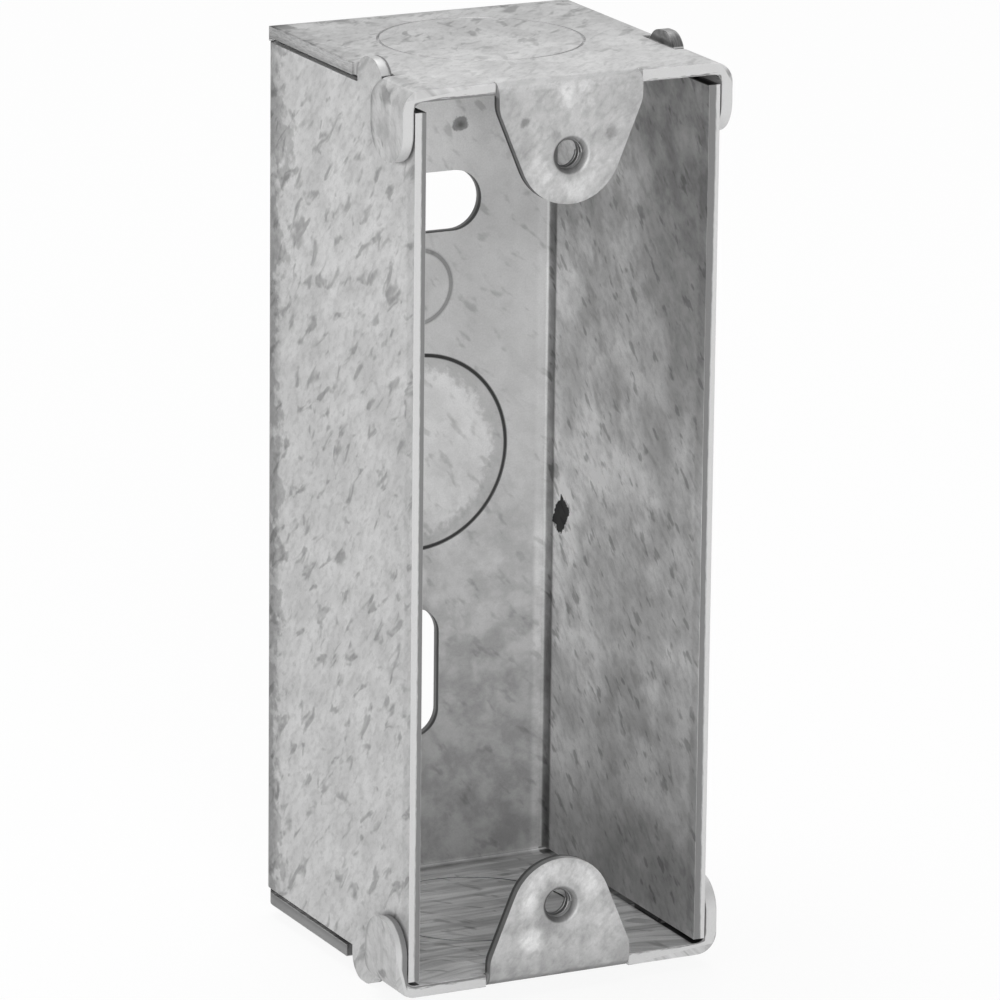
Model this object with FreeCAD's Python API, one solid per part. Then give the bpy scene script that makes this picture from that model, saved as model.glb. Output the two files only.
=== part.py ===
import FreeCAD, Part
import math
import os

# Flush back box: one blank of zinc-coated steel sheet, folded into an open box.
# X runs across the box, the open front faces -Y and +Z is up.
# The origin is under the middle of the box, at the tips of the lower tongues.

# Sheet and folds, in millimetres
sheet = 1.2
wall_bend_inner = 0.7
end_bend_inner = 0.35
corner_slit = 0.1

# Box over its outer faces
box_width = 33.0
box_height = 91.5
box_depth = 34.5
top_corner_round = 1.4
bottom_corner_round = 2.6

# Corner joint: a tongue on each wall stands in a notch of the end plate,
# and a tab of the end plate laps over the outside of the wall in front of it
tab_width = 7.1
tab_reach = 7.5
tab_round = 3.3
tab_bend_inner = 0.9
tab_gap = 0.15
tongue_width = 5.4
tongue_proud_top = 1.3
tongue_proud_bottom = 1.4
tongue_round = 2.3
tongue_front_gap = 0.4
notch_rear_gap = 1.3
notch_side_gap = 0.1
wall_top_relief = 0.55

# Fixing lugs with their drawn and tapped holes
lug_width = 15.5
lug_reach = 12.5
lug_tip_radius = 5.5
lug_shoulder_radius = 3.0
lug_flank_angle = 22.7
lug_proud = 0.55
lug_bend_inner = 0.1
lug_slit = 0.2
lug_hole_spacing = 76.2
lug_hole_radius = 1.5
lug_hole_lip = 0.65
collar_radius = 2.15
collar_height = 0.8
collar_chamfer = 0.2

# Knockouts, each a disc held by a thin web between two ring grooves
knockout_radius = 10.2
knockout_groove = 0.3
knockout_web = 0.3
end_knockout_from_front = 19.3

# Fixing slots and the stamped ring in the back
upper_slot_length = 14.4
upper_slot_width = 6.3
upper_slot_from_top = 19.75
lower_slot_length = 13.8
lower_slot_width = 5.7
lower_slot_from_bottom = 22.3
stamp_radius = 3.85
stamp_line = 0.4
stamp_depth = 0.1
stamp_from_top = 28.4

# Places that follow from the sizes above
half_width = box_width / 2
lug_face = -(box_depth + lug_proud) / 2
front = lug_face + lug_proud
back = front + box_depth
bottom = tongue_proud_bottom
top = bottom + box_height
middle = bottom + box_height / 2
wall_bend_outer = wall_bend_inner + sheet
end_bend_outer = end_bend_inner + sheet
tab_bend_outer = tab_bend_inner + sheet
lug_bend_outer = lug_bend_inner + sheet
wall_low = bottom + end_bend_outer + corner_slit
wall_high = top - end_bend_outer - corner_slit
wall_front_high = wall_high - wall_top_relief
tab_rear = front + tab_width
tab_inside = half_width + tab_gap
tab_fold = tab_inside - tab_bend_inner
notch_inside = half_width - sheet - notch_side_gap
tongue_front = tab_rear + tongue_front_gap
tongue_rear = tongue_front + tongue_width
notch_rear = tongue_rear + notch_rear_gap

ALONG_X = FreeCAD.Vector(1, 0, 0)
ALONG_Y = FreeCAD.Vector(0, 1, 0)
ALONG_Z = FreeCAD.Vector(0, 0, 1)

# Points closer than this are one point
SAME_POINT = 1e-6


def corner_arc(before, corner, after, radius):
    """Start, middle and end of the arc that rounds one corner of an outline."""
    to_before = (before - corner).normalize()
    to_after = (after - corner).normalize()
    half_angle = to_before.getAngle(to_after) / 2
    run = radius / math.tan(half_angle)
    bisector = (to_before + to_after).normalize()
    reach = radius / math.sin(half_angle) - radius
    return corner + to_before * run, corner + bisector * reach, corner + to_after * run


def outline_face(corners):
    """Flat face inside a closed outline, given as (point, rounding radius) pairs."""
    joints = []
    for index, (point, radius) in enumerate(corners):
        if radius == 0:
            joints.append((point, None, point))
            continue
        before = corners[index - 1][0]
        after = corners[(index + 1) % len(corners)][0]
        joints.append(corner_arc(before, point, after, radius))
    edges = []
    for index, (start, halfway, end) in enumerate(joints):
        if halfway is not None:
            edges.append(Part.Arc(start, halfway, end).toShape())
        following = joints[(index + 1) % len(joints)][0]
        if end.distanceToPoint(following) > SAME_POINT:
            edges.append(Part.LineSegment(end, following).toShape())
    return Part.Face(Part.Wire(edges))


def fold(centre, first, second, inner, run):
    """Quarter-turn bend from direction first to direction second, swept along run."""
    outer = inner + sheet
    diagonal = (first + second).normalize()
    edges = [
        Part.LineSegment(centre + first * inner, centre + first * outer).toShape(),
        Part.Arc(centre + first * outer, centre + diagonal * outer, centre + second * outer).toShape(),
        Part.LineSegment(centre + second * outer, centre + second * inner).toShape(),
        Part.Arc(centre + second * inner, centre + diagonal * inner, centre + first * inner).toShape(),
    ]
    return Part.Face(Part.Wire(edges)).extrude(run)


def ring_groove(centre, axis, radius, line, depth):
    """Cutter for a ring groove that starts at centre and goes depth along axis."""
    outside = Part.makeCylinder(radius + line / 2, depth, centre, axis)
    inside = Part.makeCylinder(radius - line / 2, depth, centre, axis)
    return outside.cut(inside)


def knockout_grooves(face_centre, inward):
    """Two grooves that meet from both faces of the sheet, all but the web."""
    depth = (sheet - knockout_web) / 2
    near = ring_groove(face_centre, inward, knockout_radius, knockout_groove, depth)
    far_start = face_centre + inward * (sheet - depth)
    far = ring_groove(far_start, inward, knockout_radius, knockout_groove, depth)
    return [near, far]


def slot_cutter(centre_z, size_x, size_z, end_radius):
    """Round-ended slot through the back."""
    left = -size_x / 2
    right = size_x / 2
    low = centre_z - size_z / 2
    high = centre_z + size_z / 2
    start = back - sheet
    corners = [
        (FreeCAD.Vector(left, start, low), end_radius),
        (FreeCAD.Vector(right, start, low), end_radius),
        (FreeCAD.Vector(right, start, high), end_radius),
        (FreeCAD.Vector(left, start, high), end_radius),
    ]
    return outline_face(corners).extrude(ALONG_Y * sheet)


def back_panel():
    """Flat back between the folds, up to the folds of the end plates."""
    low = bottom + end_bend_outer
    high = top - end_bend_outer
    reach = half_width - wall_bend_outer
    corner = FreeCAD.Vector(-reach, back - sheet, low)
    return Part.makeBox(reach * 2, sheet, high - low, corner)


def side_wall(side):
    """One long wall with its fold to the back and a tongue at each end.

    In front of its upper tongue it is shorter, to clear the fold of the tab.
    """
    inside = side * (half_width - sheet)
    rear = back - wall_bend_outer
    tip_low = bottom - tongue_proud_bottom
    tip_high = top + tongue_proud_top
    corners = [
        (FreeCAD.Vector(inside, front, wall_low), 0),
        (FreeCAD.Vector(inside, tongue_front, wall_low), 0),
        (FreeCAD.Vector(inside, tongue_front, tip_low), tongue_round),
        (FreeCAD.Vector(inside, tongue_rear, tip_low), tongue_round),
        (FreeCAD.Vector(inside, tongue_rear, wall_low), 0),
        (FreeCAD.Vector(inside, rear, wall_low), 0),
        (FreeCAD.Vector(inside, rear, wall_high), 0),
        (FreeCAD.Vector(inside, tongue_rear, wall_high), 0),
        (FreeCAD.Vector(inside, tongue_rear, tip_high), tongue_round),
        (FreeCAD.Vector(inside, tongue_front, tip_high), tongue_round),
        (FreeCAD.Vector(inside, tongue_front, wall_front_high), 0),
        (FreeCAD.Vector(inside, front, wall_front_high), 0),
    ]
    wall = outline_face(corners).extrude(ALONG_X * side * sheet)
    centre = FreeCAD.Vector(side * (half_width - wall_bend_outer), rear, wall_low)
    corner = fold(centre, ALONG_X * side, ALONG_Y, wall_bend_inner, ALONG_Z * (wall_high - wall_low))
    return [wall, corner]


def end_plate(end):
    """Flat end plate with its side notches, and its fold to the back."""
    outer_z = top if end > 0 else bottom
    inner_z = outer_z - end * sheet
    rear = back - end_bend_outer
    half_lug = lug_width / 2
    lug_root = lug_face + lug_bend_outer
    right_side = [
        (half_lug, lug_root),
        (half_lug + lug_slit, lug_root),
        (half_lug + lug_slit, front),
        (tab_fold, front),
        (tab_fold, tab_rear),
        (notch_inside, tab_rear),
        (notch_inside, notch_rear),
        (half_width, notch_rear),
        (half_width, rear),
    ]
    left_side = [(-x, y) for x, y in reversed(right_side)]
    corners = [(FreeCAD.Vector(x, y, inner_z), 0) for x, y in right_side + left_side]
    plate = outline_face(corners).extrude(ALONG_Z * end * sheet)
    fold_z = outer_z - end * end_bend_outer
    centre = FreeCAD.Vector(-half_width, rear, fold_z)
    turn = fold(centre, ALONG_Y, ALONG_Z * end, end_bend_inner, ALONG_X * box_width)
    corner_round = top_corner_round if end > 0 else bottom_corner_round
    return [plate.fuse(turn).common(rounded_rear(fold_z, outer_z, corner_round))]


def rounded_rear(low, high, corner_round):
    """Block with the rounded rear corners that the blank has at an end plate."""
    corners = [
        (FreeCAD.Vector(-half_width, lug_face, low), 0),
        (FreeCAD.Vector(half_width, lug_face, low), 0),
        (FreeCAD.Vector(half_width, back, low), corner_round),
        (FreeCAD.Vector(-half_width, back, low), corner_round),
    ]
    return outline_face(corners).extrude(ALONG_Z * (high - low))


def lapping_tab(end, side):
    """Tab that folds off an end plate and laps over the outside of a wall."""
    outer_z = top if end > 0 else bottom
    root_z = outer_z - end * tab_bend_outer
    tip_z = outer_z - end * tab_reach
    centre = FreeCAD.Vector(side * tab_fold, front, root_z)
    turn = fold(centre, ALONG_Z * end, ALONG_X * side, tab_bend_inner, ALONG_Y * tab_width)
    inside = side * tab_inside
    corners = [
        (FreeCAD.Vector(inside, front, root_z), 0),
        (FreeCAD.Vector(inside, tab_rear, root_z), 0),
        (FreeCAD.Vector(inside, tab_rear, tip_z), tab_round),
        (FreeCAD.Vector(inside, front, tip_z), tab_round),
    ]
    flat = outline_face(corners).extrude(ALONG_X * side * sheet)
    return [turn, flat]


def fixing_lug(end):
    """Tapered lug that folds off the front of an end plate towards the middle."""
    outer_z = top if end > 0 else bottom
    root_z = outer_z - end * lug_bend_outer
    half_lug = lug_width / 2
    centre = FreeCAD.Vector(-half_lug, lug_face + lug_bend_outer, root_z)
    turn = fold(centre, ALONG_Z * end, -ALONG_Y, lug_bend_inner, ALONG_X * lug_width)
    flank = math.radians(lug_flank_angle)
    apex_past_tip = lug_tip_radius / math.sin(flank) - lug_tip_radius
    apex_z = outer_z - end * (lug_reach + apex_past_tip)
    shoulder_z = apex_z + end * half_lug / math.tan(flank)
    corners = [
        (FreeCAD.Vector(-half_lug, lug_face, root_z), 0),
        (FreeCAD.Vector(-half_lug, lug_face, shoulder_z), lug_shoulder_radius),
        (FreeCAD.Vector(0, lug_face, apex_z), lug_tip_radius),
        (FreeCAD.Vector(half_lug, lug_face, shoulder_z), lug_shoulder_radius),
        (FreeCAD.Vector(half_lug, lug_face, root_z), 0),
    ]
    flat = outline_face(corners).extrude(ALONG_Y * sheet)
    return [turn, flat]


def lug_hole_z(end):
    """Height of a lug's hole."""
    return middle + end * lug_hole_spacing / 2


def lug_collar(end):
    """Collar drawn out of the back of a lug, for more turns of thread."""
    start = FreeCAD.Vector(0, lug_face + sheet, lug_hole_z(end))
    straight = Part.makeCylinder(collar_radius, collar_height - collar_chamfer, start, ALONG_Y)
    rim_start = start + ALONG_Y * (collar_height - collar_chamfer)
    rim_radius = collar_radius - collar_chamfer
    rim = Part.makeCone(collar_radius, rim_radius, collar_chamfer, rim_start, ALONG_Y)
    return [straight, rim]


def lug_hole(end):
    """Cutter for the hole of a lug, with the rolled lip of its entry."""
    depth = sheet + collar_height
    mouth = lug_hole_radius + lug_hole_lip
    lip_turn = lug_hole_lip * (1 - math.cos(math.radians(45)))
    z = lug_hole_z(end)
    axis_front = FreeCAD.Vector(0, lug_face, z)
    mouth_edge = FreeCAD.Vector(mouth, lug_face, z)
    lip_middle = FreeCAD.Vector(lug_hole_radius + lip_turn, lug_face + lip_turn, z)
    lip_end = FreeCAD.Vector(lug_hole_radius, lug_face + lug_hole_lip, z)
    bore_end = FreeCAD.Vector(lug_hole_radius, lug_face + depth, z)
    axis_end = FreeCAD.Vector(0, lug_face + depth, z)
    edges = [
        Part.LineSegment(axis_front, mouth_edge).toShape(),
        Part.Arc(mouth_edge, lip_middle, lip_end).toShape(),
        Part.LineSegment(lip_end, bore_end).toShape(),
        Part.LineSegment(bore_end, axis_end).toShape(),
        Part.LineSegment(axis_end, axis_front).toShape(),
    ]
    return Part.Face(Part.Wire(edges)).revolve(axis_front, ALONG_Y, 360)


def folded_sheet():
    """All panels and folds, joined as the one sheet that they are."""
    pieces = [back_panel()]
    for side in (-1, 1):
        pieces += side_wall(side)
    for end in (-1, 1):
        pieces += end_plate(end)
        pieces += fixing_lug(end)
        pieces += lug_collar(end)
        for side in (-1, 1):
            pieces += lapping_tab(end, side)
    return pieces[0].fuse(pieces[1:]).removeSplitter()


def punched_features():
    """Cutters for the holes, the slots, the knockouts and the stamped ring."""
    back_inside = back - sheet
    upper_z = top - upper_slot_from_top
    lower_z = bottom + lower_slot_from_bottom
    stamp_centre = FreeCAD.Vector(0, back_inside, top - stamp_from_top)
    knockout_y = front + end_knockout_from_front
    cutters = [
        slot_cutter(upper_z, upper_slot_length, upper_slot_width, upper_slot_width / 2),
        slot_cutter(lower_z, lower_slot_width, lower_slot_length, lower_slot_width / 2),
        ring_groove(stamp_centre, ALONG_Y, stamp_radius, stamp_line, stamp_depth),
    ]
    cutters += knockout_grooves(FreeCAD.Vector(0, back_inside, middle), ALONG_Y)
    cutters += knockout_grooves(FreeCAD.Vector(0, knockout_y, top), -ALONG_Z)
    cutters += knockout_grooves(FreeCAD.Vector(0, knockout_y, bottom), ALONG_Z)
    cutters += [lug_hole(-1), lug_hole(1)]
    return cutters


os.makedirs("parts", exist_ok=True)
back_box = folded_sheet().cut(punched_features())
back_box.Solids[0].exportStep("parts/back_box.step")
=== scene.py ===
import math

import bmesh
import bpy
import numpy as np
from mathutils import Matrix, Vector
from mathutils.bvhtree import BVHTree


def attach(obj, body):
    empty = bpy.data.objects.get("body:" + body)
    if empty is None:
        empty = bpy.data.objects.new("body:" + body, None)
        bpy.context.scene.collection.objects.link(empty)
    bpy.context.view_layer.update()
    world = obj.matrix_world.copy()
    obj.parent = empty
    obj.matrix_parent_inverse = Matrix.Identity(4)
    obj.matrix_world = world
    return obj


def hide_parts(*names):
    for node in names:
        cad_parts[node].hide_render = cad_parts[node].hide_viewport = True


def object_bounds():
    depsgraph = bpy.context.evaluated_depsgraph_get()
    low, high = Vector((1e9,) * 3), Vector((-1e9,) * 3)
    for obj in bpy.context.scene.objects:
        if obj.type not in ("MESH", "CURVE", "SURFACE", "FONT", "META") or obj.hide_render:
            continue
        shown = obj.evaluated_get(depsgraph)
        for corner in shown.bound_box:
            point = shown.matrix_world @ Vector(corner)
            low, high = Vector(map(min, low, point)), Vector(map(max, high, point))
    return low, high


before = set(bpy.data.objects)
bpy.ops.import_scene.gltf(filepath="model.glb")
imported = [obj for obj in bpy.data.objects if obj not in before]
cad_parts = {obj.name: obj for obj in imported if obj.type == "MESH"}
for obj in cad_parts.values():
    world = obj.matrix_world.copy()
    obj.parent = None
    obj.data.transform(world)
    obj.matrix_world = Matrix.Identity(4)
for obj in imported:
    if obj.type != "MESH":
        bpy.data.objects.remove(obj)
cad_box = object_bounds()

MM = 0.001

# The folded sheet, in millimetres in the frame of the part
SHEET = 1.2
BACK_OUTSIDE = 17.525
BACK_INSIDE = BACK_OUTSIDE - SHEET
BOTTOM_OUTSIDE = 1.4
BOX_HEIGHT = 91.5
HALF_HEIGHT = BOX_HEIGHT / 2.0
TOP_OUTSIDE = BOTTOM_OUTSIDE + BOX_HEIGHT
MIDDLE_HEIGHT = BOTTOM_OUTSIDE + HALF_HEIGHT
WALL_OUTSIDE = 16.5
WALL_INSIDE = WALL_OUTSIDE - SHEET
LUG_FACE = -17.525
LUG_FOLD = 1.3
LUG_HOLES = 2
LUG_HOLES_APART = 76.2
LUG_BORE_RADIUS = 1.5
LUG_BORE_START = -16.75
KNOCKOUT_RADIUS = 10.2
END_KNOCKOUT_DEPTH = 2.325
TAB_OUTSIDE = 17.85
TAB_MIDDLE = -13.425
TAB_HALF_WIDTH = 3.55
TAB_ROUND = 3.3
TAB_TIP_OFF_MIDDLE = 38.25

# Small round that the press leaves on the corners of the sheet
CORNER_ROUND = 0.22
CORNER_ROUND_STEPS = 3
CORNER_ANGLE = math.radians(35.0)
FLAT_ANGLE = math.radians(0.6)
MERGE_DISTANCE = 0.002

# Telling the two skins of the sheet apart
SKIN_STEP = 0.001
SKIN_REACH = 1.5 * SHEET
SKIN_SLACK = 0.15
LEAST_DISTANCE = 1e-9
LUG_HOLE_REACH = 2.6
LUG_HOLE_DEPTH = -15.0
LUG_LIP = 1.0

# Laying the sheet flat: where the tongues, plates, lugs and tabs are, and how soon left becomes right
SIDE_TURN = 3.0
END_TURN = 30.0
TONGUE_SIDES = (15.2, 16.55)
TONGUE_DEPTHS = (-9.6, -3.9)
PLATE_SLACK = 0.3
LUG_BEHIND = -15.4
LUG_HALF_WIDTH = 8.0
TAB_SLACK = 0.1
SKINS_APART = 14.0

# Zones of the sheet, from absent to whole; heights from here on are above the bottom plate's underside
INNER_SKIN = (0.4, 0.6)
RIGHT_HALF = (-1.0, 1.0)
LOW_HALF = (HALF_HEIGHT + 1.0, HALF_HEIGHT - 1.0)
BACK_ZONE = (14.8, 16.0)
RIGHT_WALL_ZONE = (14.7, 15.2)
WITHIN_WALL = (16.5, 16.3)
BOTTOM_ZONE = (1.9, 1.4)
TOP_ZONE = (90.8, 91.3)
LUG_FRONT = (-17.0, -17.35)
LUG_SIDES = (8.2, 7.9)
TAB_ZONE = (16.55, 16.64)
PLATE_ZONE = (44.2, 44.6)
BEHIND_TONGUES = (-3.2, -2.7)
SLOT_SIDES = (14.0, 13.0)

# Patterns of the zinc on the blank: noise (scale, detail, roughness, distortion), stretch and ramp
FLECK_SLANT = math.radians(-47.0)
NOISE_MIDDLE = 0.5
GRAIN_NOISE = (5.0, 2.0, 0.65)
RAGGED_NOISE = (0.9, 3.0, 0.6)
RAGGED_GAIN = 3.0
CLOUD_NOISE = (0.16, 3.0, 0.6)
CROWDING_NOISE = (0.09, 2.0)
CROWDING_GAIN = 0.16
SPECK_CROWDING = 0.5
FLECK_STRETCH = (0.66, 0.27, 0.5)
FLECK_NOISE = (1.0, 2.0, 0.55, 0.6)
FLECK_RAMP = (0.545, 0.69)
SPECK_STRETCH = (1.5, 0.75, 0.8)
SPECK_NOISE = (1.0, 2.0, 0.6)
SPECK_RAMP = (0.44, 0.68)
MOTTLE_STRETCH = (0.36, 0.17, 0.3)
MOTTLE_NOISE = (1.0, 3.0, 0.62)
MOTTLE_RAMP = (0.36, 0.64)
ROLL_STRETCH = (0.06, 0.75, 0.4)
ROLL_NOISE = (1.0, 3.0, 0.6)
ROLL_RAMP = (0.34, 0.66)
NICK_STRETCH = (0.80, 0.33, 0.8)
NICK_NOISE = (1.0, 2.0, 0.55)
NICK_RAMP = (0.60, 0.69)
BLOT_RAMP = (0.58, 0.72)
SMOKE_NOISE = (0.30, 3.0, 0.62)
SMOKE_RAMP = (0.34, 0.66)
DRIFT_NOISE = (0.11, 2.0, 0.5)
DRIFT_RAMP = (0.36, 0.64)

# Tone of the zinc, and the share of it that each pattern takes away
COAT_RAMP = (0.35, 0.65)
COAT_TONES = (0.56, 0.62)
COAT_GRAIN_TONES = (0.84, 1.16)
MOTTLE_SHARE = 0.13
SPECK_SHARE = 0.14
FLECK_SHARE = 0.37
FLECK_SHARE_ON_RIGHT_WALL = 0.13
FLECK_LOSS_ON_LUG = 0.75
FLECK_LOSS_ON_BACK = 0.87
FLECK_LOSS_ON_TOP = 0.5
TOP_FRONT_HALF = (8.0, -8.0)
BLOT_SHARE = 0.24
WALL_SMOKE_SHARES = (0.17, 0.30)
WALL_SMOKE_HEIGHTS = (55.0, 80.0)
DRIFT_SHARE = 0.30
NICK_SHARE = 0.38
LUG_SMOKE_SHARE = 0.24
BACK_SMOKE_SHARE = 0.06
LOW_BACK_SMOKE_SHARE = 0.26
LOW_BACK_HEIGHTS = (55.0, 20.0)
TAB_ROLL_SWING = 0.16
BOTTOM_LIFT = 0.12
BOTTOM_ROLL_TONE = 0.66

# Cut edges: where in the thickness the torn part starts, and the tones, with painted shade on the slot
# edges and the left edges of the lugs
CUT_FROM_OUTER = (0.02, 0.07)
CUT_FROM_INNER = (0.995, 0.96)
LEFT_WALL_TEAR = 0.60
RIGHT_WALL_TEARS = (0.50, 0.36)
RIGHT_WALL_TEAR_HEIGHTS = (50.0, 84.0)
LEFT_PLATE_TEAR = 0.74
RIGHT_PLATE_TEAR = 0.88
LATER_TEAR = 0.5
TAB_TEAR = 0.90
LOW_LEFT_TAB_TEAR = 0.48
TEAR_RAGGEDNESS = (0.06, 0.20)
TEAR_RAMP = (-0.06, 0.10)
SHEARED_TONE = 0.57
TORN_TONE = 0.20
EDGE_GRAIN_TONES = (0.80, 1.22)
LOW_PLATE_EDGE_SHARE = 0.58
# Painted shade on the slot edges and on the left edges of the lugs
SLOT_DEPTH = (16.4, 16.5)
SLOT_EDGE_SHADE_SHARE = 0.75
LUG_EDGE_SIDES = (8.3, 8.1)
LUG_EDGE_DEPTH = (-16.1, -16.3)
LUG_EDGE_SHADE_SHARE = 0.55

# Left edges of the end plates
LEFT_EDGE_SIDE = (16.2, 16.3)
LEFT_EDGE_OFF_MIDDLE = (44.3, 44.45)
LEFT_EDGE_NEAR_WALL = (45.2, 44.7)
LEFT_EDGE_NEAR_WALL_SHARE = 0.26
LEFT_EDGE_ROUGH_RAMP = (-0.3, 0.4)
LEFT_EDGE_ROUGH_SHARES = (0.12, 0.40)
LEFT_EDGE_REAR = (5.0, 16.0)
LEFT_EDGE_REAR_SHARE = 0.18

# Spots as (place, reach, softness, raggedness), and what each does to the tone
LUG_FOLD_RUB = ((0.3, LUG_FACE, 90.65), 1.9, 0.9, 1.3)
LOW_LUG_LEFT_RUB = ((-3.3, LUG_FACE, 4.45), 1.25, 0.4, 0.3)
LOW_LUG_RIGHT_RUB = ((4.3, LUG_FACE, 6.05), 1.2, 0.8, 1.0)
LUG_DARK_SPOT = ((-5.1, LUG_FACE, 87.45), 0.45, 0.2, 0.3)
LUG_DARK_SPOT_SHARE = 0.42
LUG_FAINT_SPOT = ((4.4, LUG_FACE, 85.75), 0.55, 0.3, 0.5)
LUG_FAINT_SPOT_SHARE = 0.25
BACK_SPOT = ((4.7, BACK_INSIDE, 79.65), 0.82, 0.12, 0.35)
BACK_SPOT_SHARE = 0.58
BACK_SPOT_CORE = ((4.75, BACK_INSIDE, 79.55), 0.35, 0.30, 0.3)
BACK_SPOT_CORE_SHARE = 0.55
# A dark patch on the upper left tab, just below its fold
TAB_DARK_PATCH = ((-TAB_OUTSIDE, -12.6, 87.0), 1.3, 0.9, 0.6)
TAB_DARK_PATCH_SHARE = 0.24
WALL_PALE_SPOT = ((WALL_INSIDE, 12.8, 76.3), 2.6, 1.2, 0.8)
WALL_PALE_SPOT_TONE = 1.5

# Wear of the lugs, with painted shade round the holes and on the lower lug towards its fold; strengths
# and tones are for the upper and the lower lug
RUB_RAGGEDNESS = 0.7
RUB_START = (2.2, 3.1)
RUB_END = (5.0, 4.0)
RUB_TIP_SIDE = (1.6, -1.0)
RUB_STRENGTHS = (0.55, 1.0)
LUG_TONES = (0.85, 0.89)
LUG_WHITE_TONE = 1.20
# Painted shade round the left of the lower lug's hole, and on the lower lug towards its fold
HALO_REACH = (3.8, 2.2)
HALO_SIDE = (0.8, -1.5)
HALO_SHADE_SHARE = 0.30
LOW_LUG_FOLD = (4.0, 0.8)
LOW_LUG_FOLD_SHADE_SHARE = 0.14
# Painted shade in the mouths and bores of the lug holes, darker to the left
HOLE_MOUTH_REACH = (2.20, 2.05)
HOLE_MOUTH_FRONT = (-17.52, -17.42)
HOLE_MOUTH_BACK = (-14.6, -14.9)
HOLE_LEFT_SIDE = (0.9, -1.2)
HOLE_SHADE_SHARES = (0.45, 0.66)

# Marks on the inside of the back, with painted light and shade
# Smudges with painted shade, darker towards the foot of the back
SMUDGE_RAMP = (0.30, 0.70)
SMUDGE_STRENGTHS = (0.75, 1.0)
SMUDGE_HEIGHTS = (41.0, 4.0)
SMUDGE_AND_SHADE_SHARE = 0.38
# Painted light towards the top of the back, where the top plate casts its shadow
BACK_TOP_HEIGHTS = (69.0, 83.0)
BACK_TOP_LIGHT_TONE = 1.45
DISC_RAGGEDNESS = 1.3
DISC_REACH = (9.2, 7.8)
DISC_TONE = 1.15
DISC_RIM_REACH = (10.3, 10.1)
DISC_RIM_SHARE = 0.13
# Painted shade in the knockout groove of the back
GROOVE_WIDTH = (0.22, 0.06)
GROOVE_SHADE_SHARE = 0.72
BESIDE_DISC_LOW = (34.0, 40.0)
BESIDE_DISC_HIGH = (78.0, 72.0)
BESIDE_DISC_SHARE = 0.08
STAMP_HEIGHT = 63.1
STAMP_RADIUS = 3.85
STAMP_WIDTH = (0.30, 0.08)
STAMP_SHARE = 0.20
# Painted shade on the cut rims of the slots
SLOT_RIM_START = (16.35, 16.42)
SLOT_RIM_END = (16.60, 16.50)
SLOT_RIM_SHADE_SHARE = 0.35

# Marks along the rear bends, with painted shade in the inner corner and a painted highlight strip beside
# it
INNER_CORNER_SIDE = (14.55, 14.75)
INNER_CORNER_START = (15.1, 15.5)
INNER_CORNER_END = (16.32, 16.2)
INNER_CORNER_SHADE_SHARE = 0.62
STRIP_START = (13.4, 14.0)
STRIP_END = (14.8, 14.5)
STRIP_HEIGHTS = (44.0, 32.0)
LIT_STRIP_TONES = (1.08, 1.32)
LEFT_BEND_SIDE = (-14.4, -15.0)
LEFT_BEND_RAGGEDNESS = 1.6
PATCH_CLOUD = 22.0
PATCH_DEPTH = (13.2, 14.6)
PATCH_SHARE = 0.30
HEM_DEPTH = (12.6, 15.8)
HEM_SHARE = 0.36

# Marks on the end plates and the tabs, with painted light in the top knockout groove, painted shade and
# light on the upper lug's fold, painted shade under the lower lug's fold and painted light inside the
# bottom plate
REAR_BAND_RAGGEDNESS = 2.0
REAR_BAND_DEPTH = (14.6, 16.2)
REAR_BAND_SHARE = 0.14
REAR_SPOT_RAMP = (0.32, 0.50)
REAR_SPOT_SHARE = 0.45
LEFT_BAND_RAGGEDNESS = 2.5
LEFT_BAND_SIDE = (-13.8, -15.6)
LEFT_BAND_SHARE = 0.18
TOP_FRONT = (9.0, -10.0)
TOP_TONES = (0.98, 1.16)
# Painted light in the knockout groove of the top plate, stronger on the left
TOP_RING_WIDTH = (0.14, 0.03)
TOP_RING_HEIGHT = (90.2, 90.6)
TOP_RING_STRENGTHS = (1.0, 0.4)
TOP_RING_LEFT = (-4.0, -9.0)
TOP_RING_LIGHT_TONES = (1.12, 1.5)
# Painted shade over the highlight on the top of the upper lug's fold, and painted light on the fold's
# front
FOLD_START = (0.0, 0.35)
FOLD_TOP = (0.62, 0.86)
FOLD_TOP_SHADE_SHARE = 0.34
FOLD_FRONT_START = (0.74, 0.52)
FOLD_FRONT_END = (0.15, 0.42)
FOLD_FRONT_LIGHT_TONE = 1.19
# Painted shade under the fold of the lower lug
UNDERSIDE_START = (0.0, 0.3)
UNDERSIDE_HEIGHT = (0.9, 0.2)
UNDERSIDE_SHADE_SHARE = 0.65
# Painted light on the inside of the bottom plate
BOTTOM_LIGHT_TONE = 1.44
TAB_SHARE = 0.10

# Marks on the walls, with painted shade along the mouth and round the tabs, and painted light and shade
# inside the right wall
WALL_OFF_MIDDLE = (43.5, 43.3)
WALL_SIDE_START = (14.8, 15.2)
WALL_SIDE_END = (16.52, 16.5)
MOUTH_RAGGEDNESS = 0.5
MOUTH_DEPTH = (-15.1, -15.7)
MOUTH_SHADE_SHARES = (0.12, 0.20)
TAB_LINE_REACH = (0.55, 0.10)
TAB_LINE_SHARE = 0.42
TAB_RIM_REACH = (-0.70, -0.05)
TAB_RIM_REAR = (-12.0, -10.5)
TAB_RIM_SHARE = 0.34
LEFT_WALL_SIDE = (-16.3, -16.45)
LEFT_UPPER_HEIGHTS = (58.0, 70.0)
LEFT_UPPER_TONE = 1.06
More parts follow.
